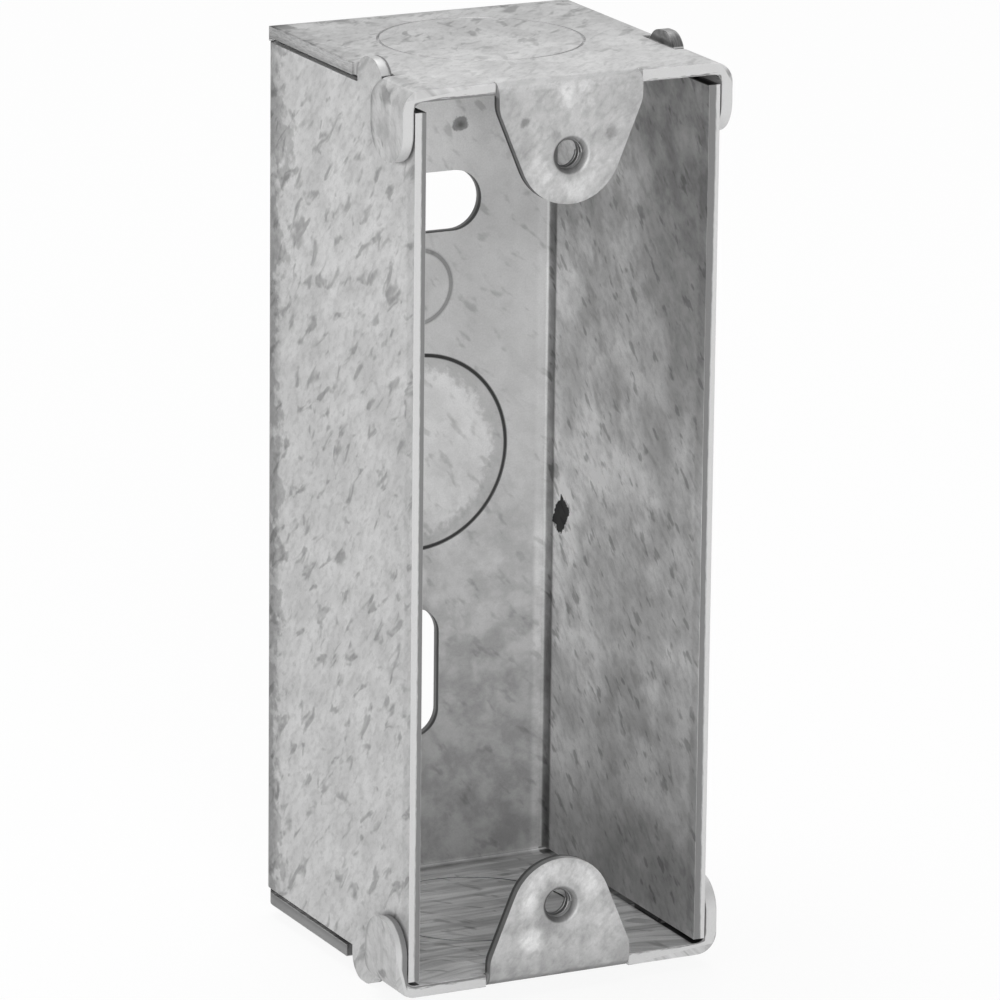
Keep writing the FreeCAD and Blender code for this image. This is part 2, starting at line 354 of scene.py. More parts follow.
# Painted light and shade inside the right wall: lit at mid height and at the rear, shaded at the front,
# under the top plate and at the foot
LIT_HEIGHT = 39.0
LIT_REACH = (26.0, 4.0)
RIGHT_WALL_LIGHT_TONES = (1.42, 1.74)
RIGHT_REAR = (-4.0, 12.0)
RIGHT_REAR_LIGHT_TONE = 1.10
RIGHT_FRONT_RAGGEDNESS = 2.0
RIGHT_FRONT = (2.0, -12.0)
RIGHT_FRONT_HEIGHTS = (46.0, 58.0)
RIGHT_FRONT_SHADE_SHARE = 0.20
UNDER_TOP_CLOUD = 16.0
UNDER_TOP_HEIGHTS = (61.0, 81.0)
UNDER_TOP_SHADE_SHARE = 0.23
FOOT_HEIGHTS = (15.0, 5.0)
FOOT_SHADE_SHARE = 0.28

# The black mark on the right wall: middle, half sizes, slant and ragged rim
BURN_DEPTH = 13.45
BURN_HEIGHT = 38.2
BURN_HALF_DEPTH = 2.05
BURN_HALF_HEIGHT = 2.15
BURN_SLANT = 0.37
BURN_RAGGEDNESS = 0.45
BURN_RIM = (1.08, 0.94)

# Painted shade in the gaps between the wall ends and the end plates
SEAM_FRONT = (-9.4, -9.6)
SEAM_STARTS = (44.08, 43.45)
SEAM_ENDS = (45.65, 45.20)
SEAM_START_RAMP = (-0.03, 0.04)
SEAM_END_RAMP = (0.05, -0.05)
SEAM_SIDE_START = (15.12, 15.27)
SEAM_SIDE_END = (16.47, 16.38)
SEAM_MOUTH = (-16.9, -16.7)
SEAM_FRONT_SHARE = 0.9
SEAM_REAR_SHARE = 0.55
SEAM_UPPER_LEFT_SHARE = 0.08
SEAM_LOW_REAR = (-2.0, 9.0)
SEAM_LOW_REAR_SHARE = 0.4

# The tongues on the right, dark from the press, with painted shade at the foot and on the front edge
TONGUE_OFF_MIDDLE = (45.75, 45.85)
TONGUE_SIDE = 15.9
TONGUE_WIDTH = (0.7, 0.1)
TONGUE_RAMP = (-0.3, 0.3)
TONGUE_SHARES = (0.30, 0.55)
TONGUE_FOOT_RAGGEDNESS = 0.25
TONGUE_FOOT = (46.45, 46.05)
TONGUE_END = (-7.6, -8.6)
TONGUE_FOOT_SHADE_SHARE = 0.62

# Shine of the sheet; pairs are for the coat and the black marks (the burnt spot and the painted seam
# shade), or for sheared and torn edges
BURN_AND_SEAM_SHADE_SHARE = 0.96
METALLIC = (0.4, 1.0)
COAT_ROUGHNESS = 0.50
FLECK_ROUGHNESS = 0.08
GRAIN_ROUGHNESS = 0.14
EDGE_ROUGHNESS = (0.48, 0.65)
GRAIN_BUMP = 0.2
GRAIN_HEIGHT = 0.03

# Thread of the lug screws
THREAD_PITCH = 0.6
THREAD_TURNS = 2.0
THREAD_STEPS = 48
THREAD_RIDGE = 0.17
THREAD_RIDGE_SIDES = 4
THREAD_NOISE = (4000.0, 2.0, 0.6)
THREAD_TONES = (0.18, 0.34)
THREAD_ROUGHNESS = (0.45, 0.60)
THREAD_METALLIC = 0.9

# The studio, in metres and watts; soft boxes as (name, place, width, power)
FLOOR_SIZE = 8.0
FLOOR_TONE = 0.86
FLOOR_WHITENESS = 0.9
WHITE = (1.0, 1.0, 1.0, 1.0)
ROOM_STRENGTH = 0.36
LIGHT_TARGET = (0.0, 0.0, 0.05)
SOFT_BOXES = (
    ("top_soft_box", (0.0, 0.3, 1.1), 0.9, 8.5),
    ("left_soft_box", (-1.1, 0.15, 0.35), 0.8, 2.5),
    ("front_soft_box", (-0.32, -1.1, 0.28), 0.5, 8.0),
)

# The camera that the photograph was taken with
CAMERA_PLACE = (-0.322212, -0.646725, 0.245337)
CAMERA_YAW = math.radians(26.59)
CAMERA_PITCH = math.radians(15.40)
CAMERA_ROLL = math.radians(0.64)
CAMERA_LENS = 269.94
SENSOR = 36.0


class Wire:
    """A value in a material's node tree; arithmetic on it adds Math nodes."""

    def __init__(self, finish, socket):
        self.finish = finish
        self.socket = socket

    def math(self, operation, *values):
        sockets = dict(enumerate(values))
        return self.finish.node("ShaderNodeMath", {"operation": operation}, sockets)

    def __add__(self, other):
        return self.math("ADD", self, other)

    def __radd__(self, other):
        return self.math("ADD", other, self)

    def __sub__(self, other):
        return self.math("SUBTRACT", self, other)

    def __rsub__(self, other):
        return self.math("SUBTRACT", other, self)

    def __mul__(self, other):
        return self.math("MULTIPLY", self, other)

    def __rmul__(self, other):
        return self.math("MULTIPLY", other, self)

    def __truediv__(self, other):
        return self.math("DIVIDE", self, other)

    def __rtruediv__(self, other):
        return self.math("DIVIDE", other, self)

    def __abs__(self):
        return self.math("ABSOLUTE", self)

    def at_least(self, other):
        return self.math("MAXIMUM", self, other)

    def root(self):
        return self.math("SQRT", self)

    def times_plus(self, factor, added):
        return self.math("MULTIPLY_ADD", self, factor, added)

    def ramp(self, low, high):
        """0 below low, 1 above high, with a soft step between; high may be below low."""
        settings = {"interpolation_type": "SMOOTHSTEP", "clamp": True}
        sockets = {"Value": self, "From Min": low, "From Max": high}
        return self.finish.node("ShaderNodeMapRange", settings, sockets)


class Finish:
    """A material and the one method that adds nodes to it."""

    def __init__(self, name):
        self.material = bpy.data.materials.new(name)
        self.material.use_nodes = True
        self.tree = self.material.node_tree
        self.tree.nodes.clear()

    def node(self, kind, settings=None, sockets=None, output=0):
        made = self.tree.nodes.new(kind)
        for name, value in (settings or {}).items():
            setattr(made, name, value)
        for name, value in (sockets or {}).items():
            if isinstance(value, Wire):
                self.tree.links.new(value.socket, made.inputs[name])
            else:
                made.inputs[name].default_value = value
        return Wire(self, made.outputs[output]) if made.outputs else None

    def parts(self, vector):
        split = self.node("ShaderNodeSeparateXYZ", None, {0: vector})
        outputs = split.socket.node.outputs
        return [Wire(self, outputs[axis]) for axis in range(3)]

    def attribute(self, name, output):
        return self.node("ShaderNodeAttribute", {"attribute_name": name}, None, output)

    def turned(self, vector, angle):
        """The vector turned about its third axis."""
        return self.node("ShaderNodeMapping", {"vector_type": "POINT"},
                         {"Vector": vector, "Rotation": (0.0, 0.0, angle)})

    def stretched(self, vector, stretch):
        return self.node("ShaderNodeVectorMath", {"operation": "MULTIPLY"}, {0: vector, 1: stretch})

    def noise(self, vector, scale, detail, roughness=0.5, distortion=0.0):
        sockets = {"Vector": vector, "Scale": scale, "Detail": detail,
                   "Roughness": roughness, "Distortion": distortion}
        return self.node("ShaderNodeTexNoise", None, sockets, "Fac")

    def grey(self, value):
        """A neutral colour of that brightness."""
        return self.node("ShaderNodeCombineColor", None, {0: value, 1: value, 2: value})

    def bump(self, height, strength, distance):
        sockets = {"Height": height, "Strength": strength, "Distance": distance}
        return self.node("ShaderNodeBump", None, sockets)

    def surface(self, sockets):
        shader = self.node("ShaderNodeBsdfPrincipled", None, sockets)
        self.node("ShaderNodeOutputMaterial", None, {"Surface": shader})
        return self.material


def mix(factor, low, high):
    """From low to high as the factor goes from 0 to 1."""
    return factor.times_plus(high - low, low)


def length(a, b):
    return a.times_plus(a, b * b).root()


def band(value, centre, half_width, softness):
    """1 where the value is within half a width of the centre."""
    return abs(value - centre).ramp(half_width + softness, half_width - softness)


def darker(mask, share):
    """A factor that takes that share of the tone away where the mask is 1."""
    return mask.times_plus(0.0 - share, 1.0)


def lighter(mask, tone):
    """A factor that goes from 1 to the tone as the mask goes from 0 to 1."""
    return mix(mask, 1.0, tone)


def merged_copy(node):
    """The sheet's mesh with its triangles joined up and its flat faces made whole."""
    shape = bmesh.new()
    shape.from_mesh(node.data)
    bmesh.ops.remove_doubles(shape, verts=shape.verts, dist=MERGE_DISTANCE * MM)
    bmesh.ops.dissolve_limit(shape, angle_limit=FLAT_ANGLE, verts=shape.verts[:],
                             edges=shape.edges[:])
    weight = shape.edges.layers.float.new("bevel_weight_edge")
    for edge in shape.edges:
        if len(edge.link_faces) == 2 and edge.calc_face_angle_signed(0.0) > CORNER_ANGLE:
            edge[weight] = 1.0
    for face in shape.faces:
        face.smooth = True
    mesh = bpy.data.meshes.new("folded_sheet")
    shape.to_mesh(mesh)
    shape.free()
    return mesh


def plain_mesh(piece, name):
    """The piece's mesh with its modifiers worked in, and the modifiers removed."""
    bpy.context.view_layer.update()
    evaluated = piece.evaluated_get(bpy.context.evaluated_depsgraph_get())
    mesh = bpy.data.meshes.new_from_object(evaluated)
    piece.modifiers.clear()
    piece.data = mesh
    mesh.name = name
    return mesh


def add_piece(name, mesh):
    piece = bpy.data.objects.new(name, mesh)
    bpy.context.scene.collection.objects.link(piece)
    return piece


def sheet_skins(node):
    """The outer and the inner skin of the sheet, each as a tree for nearest distances."""
    corners = [v.co for v in node.data.vertices]
    triangles = [tuple(p.vertices) for p in node.data.polygons]
    everything = BVHTree.FromPolygons(corners, triangles)
    middle = Vector((0.0, 0.0, MIDDLE_HEIGHT * MM))
    skins = ([], [])
    for polygon, triangle in zip(node.data.polygons, triangles):
        start = polygon.center - polygon.normal * SKIN_STEP * MM
        hit = everything.ray_cast(start, -polygon.normal, SKIN_REACH * MM)
        if hit[0] is None or abs(hit[3] - SHEET * MM) > SKIN_SLACK * MM:
            continue
        facing_in = polygon.normal.dot(middle - polygon.center) > 0.0
        skins[facing_in].append(triangle)
    return [BVHTree.FromPolygons(corners, skin) for skin in skins]


def through_sheet(points, outer, inner):
    """0 on the outer skin, 1 on the inner skin, and the share of the thickness on a cut edge."""
    shares = []
    for point in points:
        from_outer = outer.find_nearest(point)[3]
        from_inner = inner.find_nearest(point)[3]
        shares.append(from_outer / max(from_outer + from_inner, LEAST_DISTANCE))
    return np.array(shares)


def between(values, limits):
    return (values > limits[0]) & (values < limits[1])


def unfolded_places(points, through):
    """Where each point lies on the flat blank, in millimetres, so that the zinc runs on round folds."""
    x, y, z = (points / MM).T
    depth = BACK_OUTSIDE - y
    fold = np.minimum(depth, SHEET)
    side = np.clip(x / SIDE_TURN, -1.0, 1.0)
    end = np.clip((z - MIDDLE_HEIGHT) / END_TURN, -1.0, 1.0)
    across = x + side * depth
    along = z + end * fold
    tongue = between(np.abs(x), TONGUE_SIDES) & between(y, TONGUE_DEPTHS)
    plate_reach = SHEET + PLATE_SLACK
    plate = ((z > TOP_OUTSIDE - plate_reach) | (z < BOTTOM_OUTSIDE + plate_reach)) & ~tongue
    lug = (y < LUG_BEHIND) & (np.abs(x) < LUG_HALF_WIDTH) & (end**2 == 1.0)
    plate_edge = np.where(end > 0, TOP_OUTSIDE, BOTTOM_OUTSIDE)
    tab = (np.abs(x) > WALL_OUTSIDE + TAB_SLACK) & ~tongue
    flat = plate | lug | tab
    across = np.where(flat, x + side * fold, across)
    along = np.where(flat, z + end * depth, along)
    across = np.where(tab, x + side * (fold + np.abs(z - plate_edge)), across)
    along = np.where(tab, plate_edge + end * depth, along)
    along = np.where(lug, 2.0 * plate_edge - z + end * depth, along)
    return np.stack([across, along, SKINS_APART * through], axis=1)


def folded_box(node):
    """The folded sheet with rounded corners, and what its finish has to know about each point."""
    piece = add_piece("box_sheet", merged_copy(node))
    rounding = piece.modifiers.new("corner_round", "BEVEL")
    rounding.limit_method = "WEIGHT"
    rounding.width = CORNER_ROUND * MM
    rounding.segments = CORNER_ROUND_STEPS
    rounding.use_clamp_overlap = True
    normals = piece.modifiers.new("flat_shading", "WEIGHTED_NORMAL")
    normals.keep_sharp = True
    mesh = plain_mesh(piece, "box_sheet")
    places = np.zeros(len(mesh.vertices) * 3, np.float32)
    mesh.vertices.foreach_get("co", places)
    places = np.clip(places.reshape(-1, 3).astype(float), cad_box[0], cad_box[1])
    mesh.vertices.foreach_set("co", places.astype(np.float32).ravel())
    outer, inner = sheet_skins(node)
    through = through_sheet([Vector(p) for p in places], outer, inner)
    x, y, z = (places / MM).T
    from_hole = np.hypot(x, np.abs(z - MIDDLE_HEIGHT) - LUG_HOLES_APART / 2.0)
    at_hole = (from_hole < LUG_HOLE_REACH) & (y < LUG_HOLE_DEPTH)
    through[at_hole] = np.where(y[at_hole] < LUG_FACE + LUG_LIP, 0.0, 1.0)
    share = mesh.attributes.new("through_sheet", "FLOAT", "POINT")
    share.data.foreach_set("value", through.astype(np.float32))
    blank = mesh.attributes.new("blank_mm", "FLOAT_VECTOR", "POINT")
    unfolded = unfolded_places(places, through)
    blank.data.foreach_set("vector", unfolded.astype(np.float32).ravel())
    return piece


class Sheet:
    """Where a point of the sheet is: in the box, through its thickness and on the flat blank.

    Heights here are above the underside of the bottom plate.
    """

    def __init__(self, finish):
        self.finish = finish
        self.blank = finish.attribute("blank_mm", "Vector")
        self.through = finish.attribute("through_sheet", "Fac")
        metres = finish.node("ShaderNodeTexCoord", None, None, "Object")
        frame_place = finish.node("ShaderNodeVectorMath", {"operation": "SCALE"},
                                  {0: metres, "Scale": 1.0 / MM})
        self.place = finish.node("ShaderNodeVectorMath", {"operation": "SUBTRACT"},
                                 {0: frame_place, 1: (0.0, 0.0, BOTTOM_OUTSIDE)})
        self.x, self.y, self.z = finish.parts(self.place)
        self.side = abs(self.x)
        self.off_middle = abs(self.z - HALF_HEIGHT)
        self.past_lug_hole = self.off_middle - LUG_HOLES_APART / 2.0
        self.from_lug_hole = length(self.x, self.past_lug_hole)
        self.inside = self.through.ramp(*INNER_SKIN)
        self.outside = 1.0 - self.inside
        self.right = self.x.ramp(*RIGHT_HALF)
        self.left = 1.0 - self.right
        self.low = self.z.ramp(*LOW_HALF)
        self.high = 1.0 - self.low
        self.on_back = self.y.ramp(*BACK_ZONE) * self.inside
        right_wall = self.x.ramp(*RIGHT_WALL_ZONE) * self.side.ramp(*WITHIN_WALL)
        self.on_right_wall = right_wall * self.inside
        self.on_bottom = self.z.ramp(*BOTTOM_ZONE) * self.inside
        self.on_top = self.z.ramp(*TOP_ZONE) * self.outside
        self.lug_width = self.side.ramp(*LUG_SIDES)
        self.on_lug = self.y.ramp(*LUG_FRONT) * self.lug_width
        self.on_tab = self.side.ramp(*TAB_ZONE)
        self.on_plate = self.off_middle.ramp(*PLATE_ZONE)
        self.behind_tongues = self.y.ramp(*BEHIND_TONGUES)
        self.slot_width = self.side.ramp(*SLOT_SIDES)
        self.grain = finish.noise(self.blank, *GRAIN_NOISE)
        self.ragged = (finish.noise(self.blank, *RAGGED_NOISE) - NOISE_MIDDLE) * RAGGED_GAIN
        self.cloud = finish.noise(self.blank, *CLOUD_NOISE)

    def near(self, spot, reach, softness, raggedness):
        """1 within reach of the spot and 0 further off, in millimetres."""
        gap = self.finish.node("ShaderNodeVectorMath", {"operation": "DISTANCE"},
                               {0: self.place, 1: spot}, "Value")
        return self.ragged.times_plus(raggedness, gap).ramp(reach + softness, reach - softness)

    def from_axis(self, height):
        """Distance from the line that runs from front to back through the middle at that height."""
        return length(self.x, self.z - height)


def zinc_coat(zinc, sheet):
    """Tone and fleck of the coat: pale and softly mottled, with small dark slanted flecks."""
    slanted = zinc.turned(sheet.blank, FLECK_SLANT)
    crowding = (zinc.noise(sheet.blank, *CROWDING_NOISE) - NOISE_MIDDLE) * CROWDING_GAIN
    flecks = zinc.noise(zinc.stretched(slanted, FLECK_STRETCH), *FLECK_NOISE)
    fleck = (flecks + crowding).ramp(*FLECK_RAMP)
    specks = zinc.noise(zinc.stretched(slanted, SPECK_STRETCH), *SPECK_NOISE)
    speck = (specks + crowding * SPECK_CROWDING).ramp(*SPECK_RAMP)
    mottle = zinc.noise(zinc.stretched(slanted, MOTTLE_STRETCH), *MOTTLE_NOISE).ramp(*MOTTLE_RAMP)
    roll = zinc.noise(zinc.stretched(sheet.blank, ROLL_STRETCH), *ROLL_NOISE).ramp(*ROLL_RAMP)
    smoke = zinc.noise(sheet.blank, *SMOKE_NOISE).ramp(*SMOKE_RAMP)
    drift = zinc.noise(sheet.blank, *DRIFT_NOISE).ramp(*DRIFT_RAMP)
    nicks = zinc.noise(zinc.stretched(slanted, NICK_STRETCH), *NICK_NOISE)
    nick = nicks.ramp(*NICK_RAMP)
    blot = nicks.ramp(*BLOT_RAMP)

    wall_or_lug = sheet.on_right_wall.at_least(sheet.on_lug)
    plain = 1.0 - wall_or_lug.at_least(sheet.on_back).at_least(sheet.on_bottom)
    calm_top = sheet.on_top * sheet.y.ramp(*TOP_FRONT_HALF) * FLECK_LOSS_ON_TOP
    calm = (sheet.on_lug * FLECK_LOSS_ON_LUG).at_least(sheet.on_back * FLECK_LOSS_ON_BACK)
    flecked = fleck * (1.0 - calm.at_least(calm_top))
    wall_smoke_share = mix(sheet.z.ramp(*WALL_SMOKE_HEIGHTS), *WALL_SMOKE_SHARES)
    low_back = sheet.on_back * sheet.z.ramp(*LOW_BACK_HEIGHTS)
    tone = mix(sheet.cloud.ramp(*COAT_RAMP), *COAT_TONES)
    tone = tone * darker(mottle * plain, MOTTLE_SHARE) * darker(speck * plain, SPECK_SHARE)
    tone = tone * darker(flecked, mix(sheet.on_right_wall, FLECK_SHARE, FLECK_SHARE_ON_RIGHT_WALL))
    tone = tone * darker(blot * sheet.on_back, BLOT_SHARE)
    tone = tone * darker(smoke * sheet.on_right_wall, wall_smoke_share)
    tone = tone * darker(drift * sheet.on_right_wall, DRIFT_SHARE)
    tone = tone * darker(nick * sheet.on_right_wall, NICK_SHARE)
    tone = tone * darker(speck * wall_or_lug, SPECK_SHARE)
    tone = tone * darker(smoke * sheet.on_lug, LUG_SMOKE_SHARE)
    tone = tone * darker(smoke * sheet.on_back, BACK_SMOKE_SHARE)
    tone = tone * darker(smoke * low_back, LOW_BACK_SMOKE_SHARE)
    tone = tone * (1.0 + (roll - NOISE_MIDDLE) * sheet.on_tab * TAB_ROLL_SWING)
    tone = tone * mix(sheet.on_bottom * roll, 1.0 + sheet.on_bottom * BOTTOM_LIFT, BOTTOM_ROLL_TONE)
    return tone * mix(sheet.grain, *COAT_GRAIN_TONES), fleck


def cut_edges(sheet):
    """Share of a point that is cut edge, share of that edge that is torn, and the edge's tone, with
    painted shade on the slot edges and on the left edges of the lugs.
    """
    cut = sheet.through.ramp(*CUT_FROM_OUTER) * sheet.through.ramp(*CUT_FROM_INNER)
    right_wall_tear = mix(sheet.z.ramp(*RIGHT_WALL_TEAR_HEIGHTS), *RIGHT_WALL_TEARS)
    wall_start = mix(sheet.right, LEFT_WALL_TEAR, right_wall_tear)
    rear_side = sheet.on_plate * (1.0 - sheet.on_tab) * sheet.behind_tongues
    plate_start = mix(sheet.right, LEFT_PLATE_TEAR + rear_side * LATER_TEAR, RIGHT_PLATE_TEAR)
    tab_start = mix(sheet.low * sheet.left, TAB_TEAR, LOW_LEFT_TAB_TEAR)
    start = mix(sheet.on_tab, mix(sheet.on_plate, wall_start, plate_start), tab_start)
    raggedness = mix(sheet.on_plate, *TEAR_RAGGEDNESS)
    torn = (sheet.through + sheet.ragged * raggedness - start).ramp(*TEAR_RAMP)
    # Painted shade on the slot edges
    slot_edge_shade = sheet.y.ramp(*SLOT_DEPTH) * sheet.slot_width
    lug_edge = sheet.side.ramp(*LUG_EDGE_SIDES) * sheet.y.ramp(*LUG_EDGE_DEPTH)
    # Painted shade on the left cut edges of the lugs
    left_lug_edge_shade = lug_edge * (1.0 - sheet.on_plate) * sheet.left
    tone = mix(torn, SHEARED_TONE, TORN_TONE) * darker(rear_side * sheet.low, LOW_PLATE_EDGE_SHARE)
    tone = tone * darker(slot_edge_shade, SLOT_EDGE_SHADE_SHARE) * darker(left_lug_edge_shade, LUG_EDGE_SHADE_SHARE)
    return cut, torn, tone * mix(sheet.grain, *EDGE_GRAIN_TONES)


def left_plate_edges(sheet):
    """Factor on the left edges of the end plates: shaded near the wall and the back, rough above."""
    edge = sheet.left * sheet.behind_tongues * sheet.side.ramp(*LEFT_EDGE_SIDE)
    edge = edge * sheet.off_middle.ramp(*LEFT_EDGE_OFF_MIDDLE)
    near_wall = edge * sheet.off_middle.ramp(*LEFT_EDGE_NEAR_WALL)
    rough = mix(sheet.ragged.ramp(*LEFT_EDGE_ROUGH_RAMP), *LEFT_EDGE_ROUGH_SHARES) * sheet.high
    share = rough + sheet.y.ramp(*LEFT_EDGE_REAR) * LEFT_EDGE_REAR_SHARE
    return darker(near_wall, LEFT_EDGE_NEAR_WALL_SHARE) * darker(edge, share)


def lug_wear_and_shade(sheet):
    """Factor on the coat of the two lugs: dulled, and rubbed white round the tip side of the holes, with
    painted shade left of the lower hole and on the lower lug towards its fold.
    """
    outer = sheet.from_lug_hole + sheet.ragged * RUB_RAGGEDNESS
    rub = outer.ramp(*RUB_START) * outer.ramp(*RUB_END) * sheet.past_lug_hole.ramp(*RUB_TIP_SIDE)
    rub = rub * mix(sheet.low, *RUB_STRENGTHS)
    white = rub.at_least(sheet.near(*LUG_FOLD_RUB))
    white = white.at_least(sheet.near(*LOW_LUG_LEFT_RUB)).at_least(sheet.near(*LOW_LUG_RIGHT_RUB))
    # Painted shade round the left of the lower lug's hole
    hole_halo_shade = sheet.low * sheet.from_lug_hole.ramp(*HALO_REACH) * sheet.x.ramp(*HALO_SIDE)
    worn = mix(white, mix(sheet.low, *LUG_TONES), LUG_WHITE_TONE)
    worn = worn * darker(sheet.near(*LUG_DARK_SPOT), LUG_DARK_SPOT_SHARE)
    worn = worn * darker(sheet.near(*LUG_FAINT_SPOT), LUG_FAINT_SPOT_SHARE)
    worn = worn * darker(hole_halo_shade, HALO_SHADE_SHARE)
    # Painted shade on the lower lug towards its fold
    worn = worn * darker(sheet.low * sheet.z.ramp(*LOW_LUG_FOLD), LOW_LUG_FOLD_SHADE_SHARE)
    return mix(sheet.on_lug, 1.0, worn)


def lug_hole_shade(sheet):
    """Painted shade in the mouth and the bore of the lug holes, darker to the left."""
    mouth_shade = sheet.from_lug_hole.ramp(*HOLE_MOUTH_REACH) * sheet.y.ramp(*HOLE_MOUTH_FRONT)
    mouth_shade = mouth_shade * sheet.y.ramp(*HOLE_MOUTH_BACK)
    return darker(mouth_shade, mix(sheet.x.ramp(*HOLE_LEFT_SIDE), *HOLE_SHADE_SHARES))


def back_marks_light_and_shade(sheet):
    """Factor on the inside of the back: smudges and painted shade below, painted light above, painted
    shade in the knockout groove and on the slot rims, and marks of the dies.
    """
    # Smudges and painted shade, darker towards the bottom of the back
    smudge_and_shade = mix(sheet.cloud.ramp(*SMUDGE_RAMP), *SMUDGE_STRENGTHS) * sheet.z.ramp(*SMUDGE_HEIGHTS)
    factor = darker(smudge_and_shade * sheet.on_back, SMUDGE_AND_SHADE_SHARE)
    # Painted light towards the top of the back
    factor = factor * lighter(sheet.z.ramp(*BACK_TOP_HEIGHTS) * sheet.on_back, BACK_TOP_LIGHT_TONE)

    from_middle = sheet.from_axis(HALF_HEIGHT)
    disc = (from_middle + sheet.ragged * DISC_RAGGEDNESS).ramp(*DISC_REACH) * sheet.on_back
    off_disc = (1.0 - disc) * sheet.on_back
    rim = off_disc * from_middle.ramp(*DISC_RIM_REACH)
    # Painted shade in the knockout groove of the back
    groove_shade = band(from_middle, KNOCKOUT_RADIUS, *GROOVE_WIDTH) * sheet.on_back
    beside = off_disc * sheet.z.ramp(*BESIDE_DISC_LOW) * sheet.z.ramp(*BESIDE_DISC_HIGH)
    factor = factor * lighter(disc, DISC_TONE) * darker(rim, DISC_RIM_SHARE)
    factor = factor * darker(groove_shade, GROOVE_SHADE_SHARE) * darker(beside, BESIDE_DISC_SHARE)

    stamp = band(sheet.from_axis(STAMP_HEIGHT), STAMP_RADIUS, *STAMP_WIDTH) * sheet.on_back
    # Painted shade on the cut rims of the slots
    slot_rim_shade = sheet.y.ramp(*SLOT_RIM_START) * sheet.y.ramp(*SLOT_RIM_END) * sheet.slot_width
    factor = factor * darker(stamp, STAMP_SHARE) * darker(slot_rim_shade, SLOT_RIM_SHADE_SHARE)
    factor = factor * darker(sheet.near(*BACK_SPOT), BACK_SPOT_SHARE)
    return factor * darker(sheet.near(*BACK_SPOT_CORE), BACK_SPOT_CORE_SHARE)


def corner_shading_and_patches(sheet):
    """Factor near the rear bends: painted shade in the inner corner, a painted highlight strip on the
    back beside it, patchy on the left one.
    """
    # Painted shade in the inner corner of the right rear bend
    corner = sheet.x.ramp(*INNER_CORNER_SIDE) * sheet.y.ramp(*INNER_CORNER_START)
    corner = corner * sheet.y.ramp(*INNER_CORNER_END) * sheet.inside
    # Painted highlight on a strip of the back beside the inner corner
    lit_strip = sheet.x.ramp(*STRIP_START) * sheet.x.ramp(*STRIP_END) * sheet.on_back
    lit_strip_tone = mix(sheet.z.ramp(*STRIP_HEIGHTS), *LIT_STRIP_TONES)
    left_bend = sheet.x.ramp(*LEFT_BEND_SIDE) * sheet.outside
    rear = sheet.y + sheet.ragged * LEFT_BEND_RAGGEDNESS
    patches = left_bend * (rear + (sheet.cloud - NOISE_MIDDLE) * PATCH_CLOUD).ramp(*PATCH_DEPTH)
    hem = left_bend * rear.ramp(*HEM_DEPTH)
    factor = darker(corner, INNER_CORNER_SHADE_SHARE) * lighter(lit_strip, lit_strip_tone)
    return factor * darker(patches, PATCH_SHARE) * darker(hem, HEM_SHARE)


def plate_marks_light_and_shade(sheet):
    """Factor on the end plates and the tabs, with painted light in the top knockout groove, painted shade
    and light on the upper lug's fold, painted shade under the lower lug's fold and painted light inside
    the bottom plate.
    """
    rear_band = sheet.on_top * (sheet.y + sheet.ragged * REAR_BAND_RAGGEDNESS).ramp(*REAR_BAND_DEPTH)
    left_band = sheet.on_top * (sheet.x + sheet.ragged * LEFT_BAND_RAGGEDNESS).ramp(*LEFT_BAND_SIDE)
    spots = rear_band * sheet.ragged.ramp(*REAR_SPOT_RAMP)
    factor = darker(rear_band, REAR_BAND_SHARE) * darker(left_band, LEFT_BAND_SHARE)
    factor = factor * darker(spots, REAR_SPOT_SHARE)
    factor = factor * mix(sheet.on_top * sheet.y.ramp(*TOP_FRONT), *TOP_TONES)

    from_axis = length(sheet.x, sheet.y - END_KNOCKOUT_DEPTH)
    # Painted light in the knockout groove of the top plate
    top_ring_light = band(from_axis, KNOCKOUT_RADIUS, *TOP_RING_WIDTH) * sheet.z.ramp(*TOP_RING_HEIGHT)
    top_ring_light = top_ring_light * mix(sheet.right, *TOP_RING_STRENGTHS)
    factor = factor * lighter(top_ring_light, mix(sheet.x.ramp(*TOP_RING_LEFT), *TOP_RING_LIGHT_TONES))

    lug = sheet.lug_width * sheet.outside
    ahead = (LUG_FACE + LUG_FOLD - sheet.y).at_least(0.0) / LUG_FOLD
    above = (sheet.z - BOX_HEIGHT + LUG_FOLD).at_least(0.0) / LUG_FOLD
    # Painted shade on the top of the upper lug's fold and painted light on its front
    folded = lug * ahead.ramp(*FOLD_START)
    fold_top_shade = folded * above.ramp(*FOLD_TOP)
    fold_front_light = folded * above.ramp(*FOLD_FRONT_START) * above.ramp(*FOLD_FRONT_END)
    # Painted shade under the fold of the lower lug
    underside_shade = lug * ahead.ramp(*UNDERSIDE_START) * sheet.z.ramp(*UNDERSIDE_HEIGHT)
    factor = factor * darker(fold_top_shade, FOLD_TOP_SHADE_SHARE) * lighter(fold_front_light, FOLD_FRONT_LIGHT_TONE)
    factor = factor * darker(underside_shade, UNDERSIDE_SHADE_SHARE)

    factor = factor * darker(sheet.near(*TAB_DARK_PATCH), TAB_DARK_PATCH_SHARE)
    # Painted light on the inside of the bottom plate
    return factor * lighter(sheet.on_bottom, BOTTOM_LIGHT_TONE) * darker(sheet.on_tab, TAB_SHARE)


